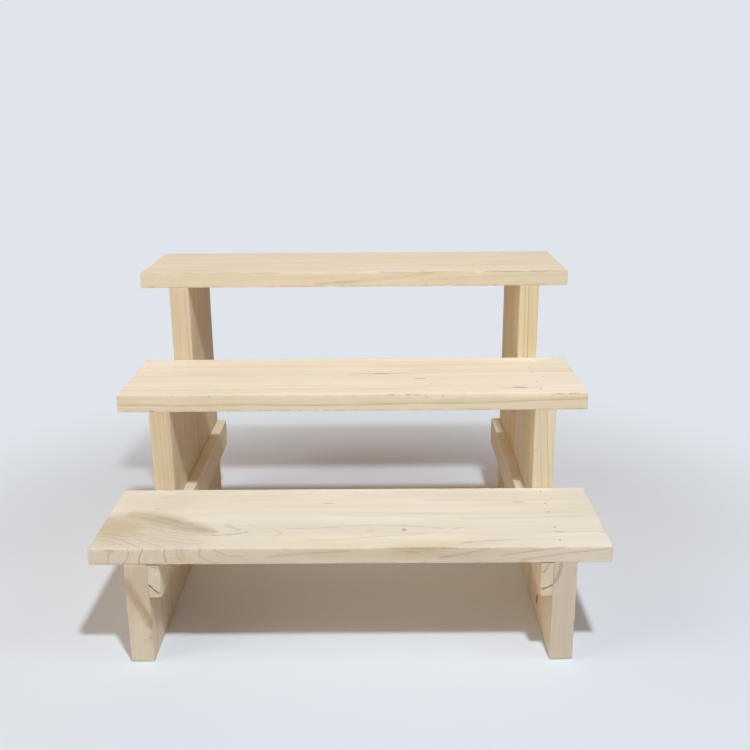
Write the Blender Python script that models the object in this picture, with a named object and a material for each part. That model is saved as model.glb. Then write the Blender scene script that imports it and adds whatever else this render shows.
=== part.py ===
"""Three-tier ladder display rack: a table-top riser of raw pine boards, nailed together.

Metres, +Z up. The rack's front faces -Y and its right-hand end is at +X.
The origin is on the table, under the middle of the rack.
"""
import math

import bmesh
import bpy
from mathutils import Matrix, Vector

# Tiers, from the front of the rack to its back
TIERS = ("front", "middle", "back")
TIER_PITCH = 0.127        # a step's front edge to the next step's front edge
TIER_RISE = 0.097         # a step's underside above the one below it, and the first above the table

# Step boards, from planks of slightly unlike thickness
STEP_LENGTH = 0.457
FRONT_STEP_THICKNESS = 0.015
MIDDLE_STEP_THICKNESS = 0.017
BACK_STEP_THICKNESS = 0.016
STEP_OVERHANG = 0.030     # a step's end past the outer faces of its posts

# Post boards, on edge under the steps' ends and flush with their front and rear edges
POST_THICKNESS = 0.0205

# Rails along the inner faces of the posts
RAIL_THICKNESS = 0.0105
RAIL_HEIGHT = 0.0315
RAIL_DROP = 0.001         # a rail's top edge below the front step's underside

# Finish nails
NAIL_SHANK_RADIUS = 0.0008
NAIL_HEAD_LIP = 0.0004    # how far the head stands out round the shank
NAIL_HEAD_HEIGHT = 0.0010
NAIL_POINT_LENGTH = 0.0025
NAIL_SET = 0.0005         # the head's top below the face it was driven into
NAIL_FRONT_MARGIN = 0.0135  # the first nail of a row behind the step's front edge
NAIL_REAR_MARGIN = 0.0095  # the last nail of a row before the step's rear edge
NAIL_LINE_INSET = 0.0065  # a row of step nails from the post's inner face
NAIL_STRAY = 0.005        # the furthest that a nail, driven by eye, lies from its even place in a row
STRAY_SHARES = (0.0, -0.2, 1.0, -0.4, 0.0)  # how much of that each nail of a row lies behind
STEP_NAIL_LENGTH = 0.050
RAIL_NAIL_COVER = 0.006   # wood left between a rail nail's point and the post's outer face
NAIL_SIDES = 8

# Clearances
JOINT_GAP = 0.0003        # between two boards that meet
NAIL_CLEARANCE = 0.0003   # round a nail in its hole

# Finishes: base colour, roughness, metallic
STEP_PINE = ((0.76, 0.60, 0.42), 0.62, 0.0)
POST_PINE = ((0.70, 0.55, 0.36), 0.66, 0.0)
RAIL_PINE = ((0.62, 0.45, 0.28), 0.68, 0.0)
BRIGHT_STEEL = ((0.36, 0.35, 0.34), 0.40, 1.0)

SIDES = {"left": -1.0, "right": 1.0}
STEP_THICKNESSES = (FRONT_STEP_THICKNESS, MIDDLE_STEP_THICKNESS, BACK_STEP_THICKNESS)
BOARD_WIDTH = TIER_PITCH - JOINT_GAP  # steps and posts are ripped to one width, and each meets the next
RACK_DEPTH = TIER_PITCH * (len(TIERS) - 1) + BOARD_WIDTH
POST_OUTER_X = STEP_LENGTH / 2 - STEP_OVERHANG
POST_INNER_X = POST_OUTER_X - POST_THICKNESS
RAIL_OUTER_X = POST_INNER_X - JOINT_GAP
RAIL_INNER_X = RAIL_OUTER_X - RAIL_THICKNESS
RAIL_TOP_Z = TIER_RISE - RAIL_DROP
RAIL_NAIL_LENGTH = RAIL_THICKNESS + JOINT_GAP + POST_THICKNESS - RAIL_NAIL_COVER - NAIL_SET


def span_y(tier):
    """Front and rear edges of a tier's step, and so of the posts under it."""
    front = tier * TIER_PITCH - RACK_DEPTH / 2
    return front, front + BOARD_WIDTH


def step_under_z(tier):
    """Underside of a tier's step."""
    return (tier + 1) * TIER_RISE


def step_top_z(tier):
    """Top face of a tier's step."""
    return step_under_z(tier) + STEP_THICKNESSES[tier]


def nail_row_y(tier):
    """Places of the nails along a row that holds a step to one of its posts."""
    front, rear = span_y(tier)
    first = front + NAIL_FRONT_MARGIN
    last = rear - NAIL_REAR_MARGIN
    spacing = (last - first) / (len(STRAY_SHARES) - 1)
    return [first + spacing * number + NAIL_STRAY * share for number, share in enumerate(STRAY_SHARES)]


def finish(name, look):
    """A plain material from a base colour, a roughness and a metallic value."""
    colour, roughness, metallic = look
    material = bpy.data.materials.new(name)
    material.use_nodes = True
    shader = material.node_tree.nodes["Principled BSDF"]
    shader.inputs["Base Color"].default_value = (*colour, 1.0)
    shader.inputs["Roughness"].default_value = roughness
    shader.inputs["Metallic"].default_value = metallic
    return material


def new_object(name, mesh, parent):
    """An object for a mesh, linked to the scene under its parent."""
    piece = bpy.data.objects.new(name, mesh)
    piece.parent = parent
    bpy.context.scene.collection.objects.link(piece)
    return piece


def board(name, low, high, look, parent):
    """A straight-sawn board that fills the box between two corners."""
    low = Vector(low)
    high = Vector(high)
    shape = bmesh.new()
    bmesh.ops.create_cube(shape, size=1.0, matrix=Matrix.Diagonal((*(high - low), 1.0)))
    mesh = bpy.data.meshes.new(name)
    shape.to_mesh(mesh)
    shape.free()
    mesh.materials.append(finish(name + "_pine", look))
    piece = new_object(name, mesh, parent)
    piece.location = (low + high) / 2
    return piece


def add_turned(shape, profile, placement):
    """Turn a profile of (radius, height) points, from the axis back to it, into a closed body."""
    body = bmesh.new()
    points = [body.verts.new((radius, 0.0, height)) for radius, height in profile]
    lines = [body.edges.new(pair) for pair in zip(points, points[1:])]
    bmesh.ops.spin(body, geom=points + lines, cent=(0.0, 0.0, 0.0), axis=(0.0, 0.0, 1.0),
                   angle=2 * math.pi, steps=NAIL_SIDES, use_merge=True)
    bmesh.ops.remove_doubles(body, verts=body.verts, dist=0.000001)
    bmesh.ops.recalc_face_normals(body, faces=body.faces)
    bmesh.ops.transform(body, matrix=placement, verts=body.verts)
    turned = bpy.data.meshes.new("turned")
    body.to_mesh(turned)
    body.free()
    shape.from_mesh(turned)
    bpy.data.meshes.remove(turned)


def nail_profile(length):
    """A finish nail, head up, with the top of its head at the origin."""
    head = NAIL_SHANK_RADIUS + NAIL_HEAD_LIP
    return [
        (0.0, 0.0),
        (head, 0.0),
        (head, -NAIL_HEAD_HEIGHT / 2),
        (NAIL_SHANK_RADIUS, -NAIL_HEAD_HEIGHT),
        (NAIL_SHANK_RADIUS, NAIL_POINT_LENGTH - length),
        (0.0, -length),
    ]


def hole_profile(length):
    """The hole round a nail: the nail with its clearance, open above the face it was driven into."""
    head = NAIL_SHANK_RADIUS + NAIL_HEAD_LIP + NAIL_CLEARANCE
    shank = NAIL_SHANK_RADIUS + NAIL_CLEARANCE
    mouth = NAIL_SET + NAIL_HEAD_HEIGHT
    return [
        (0.0, mouth),
        (head, mouth),
        (head, -NAIL_HEAD_HEIGHT),
        (shank, -NAIL_HEAD_HEIGHT - NAIL_CLEARANCE),
        (shank, -length - NAIL_CLEARANCE),
        (0.0, -length - NAIL_CLEARANCE),
    ]


def nail_mesh(name, length):
    """The mesh that nails of one length share."""
    shape = bmesh.new()
    add_turned(shape, nail_profile(length), Matrix.Identity(4))
    mesh = bpy.data.meshes.new(name)
    shape.to_mesh(mesh)
    shape.free()
    mesh.shade_smooth()
    mesh.set_sharp_from_angle(angle=math.radians(30))
    mesh.materials.append(finish(name + "_steel", BRIGHT_STEEL))
    return mesh


def drive(nail, mesh, placement, parent):
    """One nail in its place."""
    piece = new_object(nail, mesh, parent)
    piece.matrix_local = placement


def drill(piece, placements, parent):
    """Cut the holes of a board's nails, given as (placement, nail length) pairs."""
    shape = bmesh.new()
    for placement, length in placements:
        add_turned(shape, hole_profile(length), placement)
    mesh = bpy.data.meshes.new(piece.name + "_drill")
    shape.to_mesh(mesh)
    shape.free()
    cutter = new_object(piece.name + "_drill", mesh, parent)
    cutter.hide_render = True
    cutter.display_type = "WIRE"
    cut = piece.modifiers.new("nail holes", "BOOLEAN")
    cut.operation = "DIFFERENCE"
    cut.solver = "EXACT"
    cut.object = cutter


for item in list(bpy.data.objects):
    bpy.data.objects.remove(item, do_unlink=True)

rack = new_object("rack", None, None)

# Where every nail goes: through a step down into a post, or through a rail outwards into a post
step_nail_places = {}
rail_nail_places = {}
for tier_number, tier_name in enumerate(TIERS):
    row_y = nail_row_y(tier_number)
    between_y = ((row_y[0] + row_y[1]) / 2, (row_y[-2] + row_y[-1]) / 2)
    step_head_z = step_top_z(tier_number) - NAIL_SET
    rail_head_z = RAIL_TOP_Z - RAIL_HEIGHT / 2
    for side_name, side in SIDES.items():
        row_x = side * (POST_INNER_X + NAIL_LINE_INSET)
        step_nail_places[tier_name, side_name] = [
            Matrix.Translation((row_x, y, step_head_z)) for y in row_y]
        head_x = side * (RAIL_INNER_X + NAIL_SET)
        outwards = Matrix.Rotation(-side * math.pi / 2, 4, "Y")
        rail_nail_places[tier_name, side_name] = [
            Matrix.Translation((head_x, y, rail_head_z)) @ outwards for y in between_y]

# Step boards
for tier_number, tier_name in enumerate(TIERS):
    front_y, rear_y = span_y(tier_number)
    step = board(
        tier_name + "_step",
        (-STEP_LENGTH / 2, front_y, step_under_z(tier_number)),
        (STEP_LENGTH / 2, rear_y, step_top_z(tier_number)),
        STEP_PINE, rack)
    drill(step, [(place, STEP_NAIL_LENGTH)
                 for side_name in SIDES for place in step_nail_places[tier_name, side_name]], rack)

# Post boards
for tier_number, tier_name in enumerate(TIERS):
    front_y, rear_y = span_y(tier_number)
    top_z = step_under_z(tier_number) - JOINT_GAP
    for side_name, side in SIDES.items():
        low_x, high_x = sorted((side * POST_INNER_X, side * POST_OUTER_X))
        post = board(
            side_name + "_" + tier_name + "_post",
            (low_x, front_y, 0.0), (high_x, rear_y, top_z),
            POST_PINE, rack)
        drill(post, [(place, STEP_NAIL_LENGTH) for place in step_nail_places[tier_name, side_name]]
              + [(place, RAIL_NAIL_LENGTH) for place in rail_nail_places[tier_name, side_name]], rack)

# Rails
for side_name, side in SIDES.items():
    low_x, high_x = sorted((side * RAIL_INNER_X, side * RAIL_OUTER_X))
    rail = board(
        side_name + "_rail",
        (low_x, -RACK_DEPTH / 2, RAIL_TOP_Z - RAIL_HEIGHT),
        (high_x, RACK_DEPTH / 2, RAIL_TOP_Z),
        RAIL_PINE, rack)
    drill(rail, [(place, RAIL_NAIL_LENGTH)
                 for tier_name in TIERS for place in rail_nail_places[tier_name, side_name]], rack)

# Nails
step_nail = nail_mesh("step_nail", STEP_NAIL_LENGTH)
rail_nail = nail_mesh("rail_nail", RAIL_NAIL_LENGTH)
for (tier_name, side_name), places in step_nail_places.items():
    for number, place in enumerate(places, start=1):
        drive(tier_name + "_step_" + side_name + "_nail_" + str(number), step_nail, place, rack)
for (tier_name, side_name), places in rail_nail_places.items():
    for number, place in enumerate(places, start=1):
        drive(side_name + "_rail_" + tier_name + "_nail_" + str(number), rail_nail, place, rack)
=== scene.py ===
import math

import bmesh
import bpy
import numpy
from mathutils import Matrix, Vector, noise


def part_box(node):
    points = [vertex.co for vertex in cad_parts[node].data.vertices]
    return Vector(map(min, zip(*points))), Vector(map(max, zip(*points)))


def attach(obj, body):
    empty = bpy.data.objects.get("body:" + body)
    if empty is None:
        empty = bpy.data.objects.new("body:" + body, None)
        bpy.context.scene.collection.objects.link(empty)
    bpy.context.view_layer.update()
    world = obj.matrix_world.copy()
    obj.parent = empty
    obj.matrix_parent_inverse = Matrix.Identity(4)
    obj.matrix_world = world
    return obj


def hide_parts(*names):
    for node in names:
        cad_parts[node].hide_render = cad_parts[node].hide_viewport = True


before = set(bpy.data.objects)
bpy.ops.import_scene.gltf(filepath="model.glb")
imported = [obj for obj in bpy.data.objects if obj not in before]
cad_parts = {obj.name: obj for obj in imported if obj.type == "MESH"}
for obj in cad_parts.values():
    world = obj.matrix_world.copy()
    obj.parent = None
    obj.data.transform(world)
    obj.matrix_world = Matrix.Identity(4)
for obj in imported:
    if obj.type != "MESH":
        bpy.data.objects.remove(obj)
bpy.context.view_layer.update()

# Posts
# Six upright pine boards, three at each end of the rack, standing side by side on the table.
# Ripped and cross-cut from planks and left raw, their arrises only lightly broken by hand.
TIERS = ("front", "middle", "back")
SIDES = ("left", "right")
POST_ARRIS = 0.0003      # width of the broken corner along every edge
POST_SPACING = (0.005, 0.004, 0.003)  # how finely the faces are divided along x, y and z
TIGHT = 0.00025          # how far a board is drawn up to the one it is nailed to
FACE_WAVE = 0.00008      # how far a planed face dips
WAVE_FINENESS = 28.0     # dips to the metre
RAG = 0.00045            # how far a sawn edge crumbles
RAG_FINENESS = 170.0     # crumbs to the metre
ARRIS_LEAN = 0.293       # how far the largest part of a normal falls short of 1 in the middle of an arris
CHIP_STEEPNESS = 1.6     # how steep a chip's rim is
CHIP_FINENESS = 900.0    # bumps to the metre in a chip
SHARP_TURN = math.radians(40)
HOLE_SIDES = 14
HOLE_ROOM = 0.00006      # room between a nail's head and its hole
HOLE_MOUTH = 0.0015      # how far a hole is bored past the nail's point, and past its head where that shows
OPEN_ROWS = ("front_step_right", "middle_step_right")  # nails whose heads show; the others are filled over
STEP_NAILS = range(1, 6)
RAIL_NAILS = range(1, 3)


def step_nails(tier, sides=SIDES):
    """The nails down through a step, at both its ends or at one."""
    return [f"{tier}_step_{side}_nail_{number}" for side in sides for number in STEP_NAILS]


def rail_nails(side, tiers=TIERS):
    """The nails through a rail, into all three posts or into one."""
    return [f"{side}_rail_{tier}_nail_{number}" for tier in tiers for number in RAIL_NAILS]


def uneven(place, fineness):
    """A smooth unevenness from 0 to 1 at a place."""
    return 0.5 + 0.5 * noise.noise(place * fineness)


def slice_board(shape, low, high, spacing, arris):
    """Divide a board's faces along its three directions, so that they can dip and its edges crumble."""
    for axis in range(3):
        along = []
        for edge in shape.edges:
            run = edge.verts[1].co - edge.verts[0].co
            if abs(run[axis]) > 0.999 * run.length and run.length > 2 * arris:
                along.append(edge)
        count = round((high[axis] - low[axis]) / spacing[axis])
        bmesh.ops.subdivide_edges(shape, edges=along, cuts=count - 1, use_grid_fill=True)


def roughen(shape, chips):
    """Let the faces dip and the edges crumble inwards, and take out chips given as (place, reach, depth)."""
    shape.normal_update()
    moves = []
    for vert in shape.verts:
        on_edge = (1.0 - max(abs(part) for part in vert.normal)) / ARRIS_LEAN
        depth = FACE_WAVE * uneven(vert.co, WAVE_FINENESS)
        depth += RAG * on_edge * uneven(vert.co, RAG_FINENESS) ** 2
        for place, reach, most in chips:
            near = 1.0 - (vert.co - place).length / reach
            if near > 0.0:
                bumps = 0.4 + 0.6 * uneven(vert.co, CHIP_FINENESS)
                depth += most * min(1.0, CHIP_STEEPNESS * near) * bumps
        moves.append((vert, vert.normal * depth))
    for vert, move in moves:
        vert.co -= move


def nail_lie(nail):
    """A nail's length, its head's radius, and the matrix that moves a nail there from under the origin."""
    low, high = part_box(nail)
    size = high - low
    head = (low + high) / 2
    if size.z > size.x:
        head.z = high.z
        turn = Matrix.Identity(4)
    else:
        outwards = math.copysign(1.0, head.x)
        head.x = low.x if outwards > 0.0 else high.x
        turn = Matrix.Rotation(-outwards * math.pi / 2, 4, "Y")
    return max(size), min(size) / 2, Matrix.Translation(head) @ turn


def nail_hole(shape, nail):
    """The hole that a nail fills, as a cylinder; a filled one ends at the nail's head."""
    length, radius, lie = nail_lie(nail)
    above_head = HOLE_MOUTH if nail.startswith(OPEN_ROWS) else HOLE_ROOM
    depth = length + above_head + HOLE_MOUTH
    radius += HOLE_ROOM
    middle = Matrix.Translation((0.0, 0.0, above_head - depth / 2))
    bmesh.ops.create_cone(shape, cap_ends=True, segments=HOLE_SIDES, radius1=radius, radius2=radius,
                          depth=depth, matrix=lie @ middle)


def finished(shape, name):
    """A modelled shape as a mesh."""
    mesh = bpy.data.meshes.new(name)
    shape.to_mesh(mesh)
    shape.free()
    return mesh


def bore(mesh, nails):
    """A copy of a board's mesh with the holes of its nails cut out of it."""
    holes = bmesh.new()
    for nail in nails:
        nail_hole(holes, nail)
    hole_mesh = finished(holes, "nail_holes")
    board = bpy.data.objects.new("board_to_bore", mesh)
    cutter = bpy.data.objects.new("nail_holes", hole_mesh)
    for item in (board, cutter):
        bpy.context.scene.collection.objects.link(item)
    cut = board.modifiers.new("nail holes", "BOOLEAN")
    cut.operation = "DIFFERENCE"
    cut.solver = "EXACT"
    cut.object = cutter
    shown = board.evaluated_get(bpy.context.evaluated_depsgraph_get())
    bored = bpy.data.meshes.new_from_object(shown)
    for item in (board, cutter):
        bpy.data.objects.remove(item)
    bpy.data.meshes.remove(hole_mesh)
    bpy.data.meshes.remove(mesh)
    return bored


def put_in_place(node, ending, mesh, material, sharp_turn):
    """A finished mesh as the piece that stands for a node."""
    mesh.materials.clear()
    mesh.materials.append(material)
    mesh.shade_smooth()
    mesh.set_sharp_from_angle(angle=sharp_turn)
    piece = bpy.data.objects.new(node + ending, mesh)
    bpy.context.scene.collection.objects.link(piece)
    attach(piece, "root")
    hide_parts(node)


def sawn_board(node, material, layers, nails, arris, spacing, chips, drawn=(0.0, 0.0, 0.0)):
    """A raw board in the place of a node, with broken arrises, crumbled edges and its nails' holes.

    layers are values over the board that its material reads, such as growth: how far into the tree a place
    lay. drawn is the way that its nails draw it up to the next board.
    """
    low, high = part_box(node)
    for axis, way in enumerate(drawn):
        low[axis] += TIGHT * min(way, 0.0)
        high[axis] += TIGHT * max(way, 0.0)
    shape = bmesh.new()
    bmesh.ops.create_cube(shape, size=1.0)
    bmesh.ops.scale(shape, vec=high - low, verts=shape.verts)
    bmesh.ops.translate(shape, vec=(low + high) / 2, verts=shape.verts)
    bmesh.ops.bevel(shape, geom=shape.edges[:], offset=arris, affect="EDGES", segments=2,
                    profile=0.5, material=-1)
    slice_board(shape, low, high, spacing, arris)
    roughen(shape, chips)
    mesh = bore(finished(shape, node), nails)
    for layer, value_at in layers.items():
        values = mesh.attributes.new(layer, "FLOAT", "POINT")
        for vert in mesh.vertices:
            values.data[vert.index].value = value_at(vert.co)
    put_in_place(node, "_board", mesh, material, SHARP_TURN)


def new_group(name, places, numbers, results):
    """An empty shader group, by the names of its vector inputs, number inputs and number outputs."""
    tree = bpy.data.node_groups.new(name, "ShaderNodeTree")
    for sockets, way, kind in ((places, "INPUT", "Vector"), (numbers, "INPUT", "Float"),
                               (results, "OUTPUT", "Float")):
        for socket in sockets:
            tree.interface.new_socket(socket, in_out=way, socket_type="NodeSocket" + kind)
    return tree.nodes.new("NodeGroupInput").outputs, tree.nodes.new("NodeGroupOutput").inputs


def feed(socket, value):
    """Link an input to another node's output, or write a plain value into it."""
    if isinstance(value, bpy.types.NodeSocket):
        socket.id_data.links.new(value, socket)
    else:
        socket.default_value = value


def new_step(kind, *values):
    """A new node in the tree that the sockets among some values belong to."""
    tree = next(value.id_data for value in values if isinstance(value, bpy.types.NodeSocket))
    return tree.nodes.new(kind)


def worked_out(kind, operation, terms):
    """What a node gives for one sum on its terms, each a socket or a plain value."""
    step = new_step(kind, *terms)
    step.operation = operation
    for socket, term in zip(step.inputs, terms):
        feed(socket, term)
    return step.outputs


def sums(operation, *terms):
    """One sum on numbers."""
    return worked_out("ShaderNodeMath", operation, terms)[0]


def vectors(operation, *terms):
    """One sum on vectors."""
    answer = "Value" if operation in ("LENGTH", "DOT_PRODUCT") else "Vector"
    return worked_out("ShaderNodeVectorMath", operation, terms)[answer]


def scaled(vector, factor):
    """A vector times a number."""
    step = new_step("ShaderNodeVectorMath", vector)
    step.operation = "SCALE"
    feed(step.inputs[0], vector)
    feed(step.inputs["Scale"], factor)
    return step.outputs[0]


def times(first, second):
    """The product of two numbers."""
    return sums("MULTIPLY", first, second)


def ease(value, start, end, low=0.0, high=1.0):
    """A smooth change from low to high as a value goes from start to end."""
    step = new_step("ShaderNodeMapRange", value)
    step.interpolation_type = "SMOOTHSTEP"
    for socket, term in zip(step.inputs, (value, start, end, low, high)):
        feed(socket, term)
    return step.outputs[0]


def clouds(vector, detail, output="Fac"):
    """Soft noise at a place that has been scaled to suit."""
    step = new_step("ShaderNodeTexNoise", vector)
    feed(step.inputs["Vector"], vector)
    step.inputs["Scale"].default_value = 1.0
    step.inputs["Detail"].default_value = detail
    return step.outputs[output]


def blend(share, first, second):
    """A mix of two colours."""
    step = new_step("ShaderNodeMix", share)
    step.data_type = "RGBA"
    feed(step.inputs[0], share)
    feed(step.inputs[6], first)
    feed(step.inputs[7], second)
    return step.outputs[2]


def growth_rings_group():
    """Yearly rings: pale early wood that darkens slowly to a late line, then starts again."""
    given, result = new_group("growth_rings", ["Place", "Stretch"], ["Growth", "Waver", "Ring Width", "Seed"],
                              ["Growth", "Late Wood", "Ring Tone"])
    spread = vectors("MULTIPLY", given["Place"], given["Stretch"])
    drift = clouds(vectors("ADD", spread, given["Seed"]), 3.0)
    drift = times(sums("SUBTRACT", drift, 0.5), given["Waver"])
    growth = sums("ADD", given["Growth"], drift)
    count = sums("ADD", sums("DIVIDE", growth, given["Ring Width"]), given["Seed"])
    part = sums("FRACT", count)
    chance = new_step("ShaderNodeTexWhiteNoise", count)
    chance.noise_dimensions = "1D"
    feed(chance.inputs["W"], sums("FLOOR", count))
    rise = ease(part, 0.45, 0.93)
    fall = ease(part, 0.935, 1.0, 1.0, 0.0)
    line = times(sums("POWER", rise, 2.0), fall)
    strength = sums("MULTIPLY_ADD", chance.outputs["Value"], 0.8, 0.2)
    feed(result["Growth"], growth)
    feed(result["Late Wood"], times(line, strength))
    feed(result["Ring Tone"], sums("SUBTRACT", chance.outputs["Value"], 0.5))


def ring_line_group():
    """One ring that stands out: it darkens slowly on one side and stops short on the other."""
    given, result = new_group("ring_line", [], ["Growth", "At", "Width"], ["Line"])
    away = sums("DIVIDE", sums("SUBTRACT", given["Growth"], given["At"]), given["Width"])
    rise = ease(away, -2.4, 0.0)
    fall = ease(away, 0.0, 0.9, 1.0, 0.0)
    feed(result["Line"], times(sums("POWER", rise, 2.0), fall))


def fibres_group():
    """Fine fibres and broad streaks along the grain, and short dark resin flecks."""
    given, result = new_group("fibres", ["Place", "Stretch"], ["Seed"], ["Fibre", "Streak", "Fleck"])
    spread = vectors("MULTIPLY", given["Place"], given["Stretch"])
    moved = vectors("ADD", spread, given["Seed"])
    feed(result["Fibre"], clouds(moved, 4.0))
    feed(result["Streak"], clouds(scaled(moved, 0.14), 3.0))
    cells = new_step("ShaderNodeTexVoronoi", moved)
    feed(cells.inputs["Vector"], scaled(moved, 0.45))
    cells.inputs["Scale"].default_value = 1.0
    tint = new_step("ShaderNodeSeparateColor", moved)
    feed(tint.inputs["Color"], cells.outputs["Color"])
    chosen = ease(tint.outputs["Red"], 0.90, 0.94)
    dash = ease(cells.outputs["Distance"], 0.10, 0.26, 1.0, 0.0)
    feed(result["Fleck"], times(chosen, dash))


def soft_patch_group():
    """A soft-edged patch round a place, broken up along the grain, for stains, tints and painted light."""
    given, result = new_group("stain", ["Place", "Centre", "Reach", "Stretch"], [], ["Stain"])
    away = vectors("DIVIDE", vectors("SUBTRACT", given["Place"], given["Centre"]), given["Reach"])
    spread = scaled(vectors("MULTIPLY", given["Place"], given["Stretch"]), 0.2)
    distance = sums("MULTIPLY_ADD", clouds(spread, 3.0), 0.9, vectors("LENGTH", away))
    feed(result["Stain"], ease(distance, 0.65, 1.45, 1.0, 0.0))


def mark_group():
    """A thin spindle-shaped mark from one point to another, for flecks, slits, cracks, pin knots and pale
    edge lines that are partly painted highlight.
    """
    given, result = new_group("mark", ["Place", "Start", "End"], ["Width"], ["Mark"])
    run = vectors("SUBTRACT", given["End"], given["Start"])
    away = vectors("SUBTRACT", given["Place"], given["Start"])
    share = sums("DIVIDE", vectors("DOT_PRODUCT", away, run), vectors("DOT_PRODUCT", run, run))
    share = sums("MAXIMUM", sums("MINIMUM", share, 1.0), 0.0)
    gap = vectors("LENGTH", vectors("SUBTRACT", away, scaled(run, share)))
    middle = times(share, sums("SUBTRACT", 1.0, share))
    width = times(given["Width"], sums("MULTIPLY_ADD", middle, 2.0, 0.5))
    feed(result["Mark"], ease(sums("DIVIDE", gap, width), 0.25, 1.0, 1.0, 0.0))


for make_group in (growth_rings_group, ring_line_group, fibres_group, soft_patch_group, mark_group):
    make_group()


def place_group(name, **values):
    """One of the groups in a material, with its own values; an input's name has _ for a space."""
    step = new_step("ShaderNodeGroup", *values.values())
    step.node_tree = bpy.data.node_groups[name]
    for socket, value in values.items():
        feed(step.inputs[socket.replace("_", " ")], value)
    return step.outputs


FLECK_BROWN = (0.40, 0.27, 0.15)
LATE_BROWN = (0.55, 0.40, 0.24)
SLIT_BROWN = (0.12, 0.06, 0.03)
RING_WAVES = (4.0, 40.0)      # waves to the metre along the grain and across it, here and below
FIBRE_WAVES = (14.0, 620.0)
PATCH_WAVES = (9.0, 30.0)
STAIN_WAVES = (70.0, 700.0)
FIBRE_TONE = 0.16             # how much the tone changes with the fibres, here and below
STREAK_TONE = 0.22
PATCH_TONE = 0.14
RING_TONE = 0.03
END_GRAIN_TONE = 0.93         # sawn ends are a little darker
FLECK_STRENGTH = 0.22
SHAKE_FINENESS = 700.0        # waves to the metre in the outline of a mark
SHAKE = 0.0012                # how far such a wave swings, from side to side
GRAIN_RELIEF = 0.0004


def stretch(grain, along, across):
    """How fine a pattern is along a board's grain and across it, in waves to the metre."""
    return tuple(along if axis == grain else across for axis in range(3))


def layer_of(tree, name):
    """A value that the board's mesh carries."""
    step = tree.nodes.new("ShaderNodeAttribute")
    step.attribute_name = name
    return step.outputs["Fac"]


def facing(normal, axis):
    """How squarely a face is turned to one way along an axis: 1 for square on, -1 for turned away."""
    way = Vector((0.0, 0.0, 0.0))
    way[axis] = 1.0
    return vectors("DOT_PRODUCT", normal, way)


def new_material(name):
    """An empty material, with its node tree and its shader."""
    material = bpy.data.materials.new(name)
    material.use_nodes = True
    return material, material.node_tree, material.node_tree.nodes["Principled BSDF"]


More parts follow.
